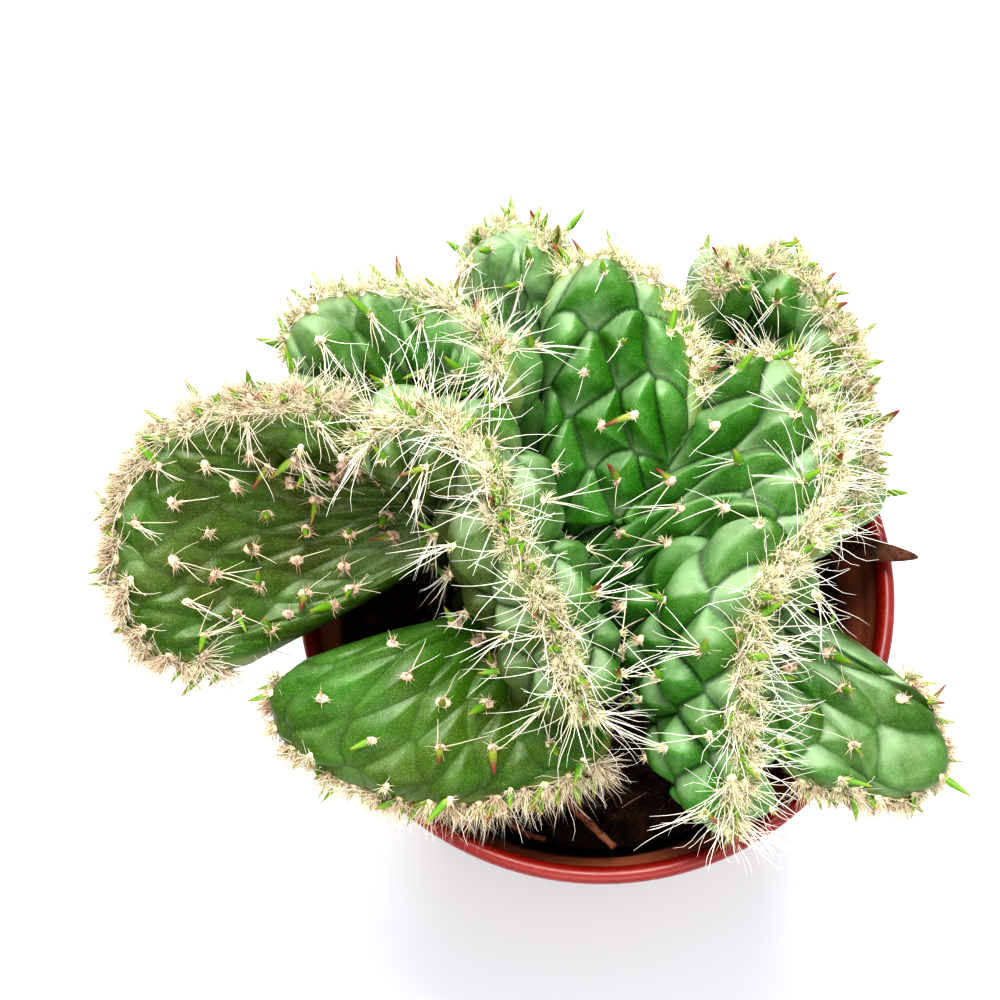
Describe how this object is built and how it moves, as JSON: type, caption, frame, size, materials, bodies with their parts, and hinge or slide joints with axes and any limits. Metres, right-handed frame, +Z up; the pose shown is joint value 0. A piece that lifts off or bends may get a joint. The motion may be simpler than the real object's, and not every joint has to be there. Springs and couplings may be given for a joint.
{
  "type": "potted crested cactus",
  "caption": "Crested prickly pear with thick winding fans, spiny areoles and tiny leaves, rooted in soil in a round tapered pot with a stepped lip.",
  "frame": {"origin": "centre of the pot's underside", "axes": "+Z up; +X to the right and +Y to the back as the picture shows the plant"},
  "size_m": [0.1223, 0.0912, 0.115],
  "materials": {
    "cactus_skin": "waxy green skin with a pale bloom, cream wool at the areoles, white spines and green leaves with red tips",
    "pot_plastic": "moulded red plastic with a soft gloss",
    "potting_soil": "dark, rough and fibrous",
    "dry_root": "dry, reddish brown and dull",
    "dry_bark": "dry, dark brown and dull"
  },
  "bodies": {
    "root": {"cactus": "cactus_skin", "pot": "pot_plastic", "soil": "potting_soil", "twig": "dry_root", "long_dry_root": "dry_root", "curled_dry_root": "dry_root", "rim_chip": "dry_bark"}
  },
  "joints": []
}
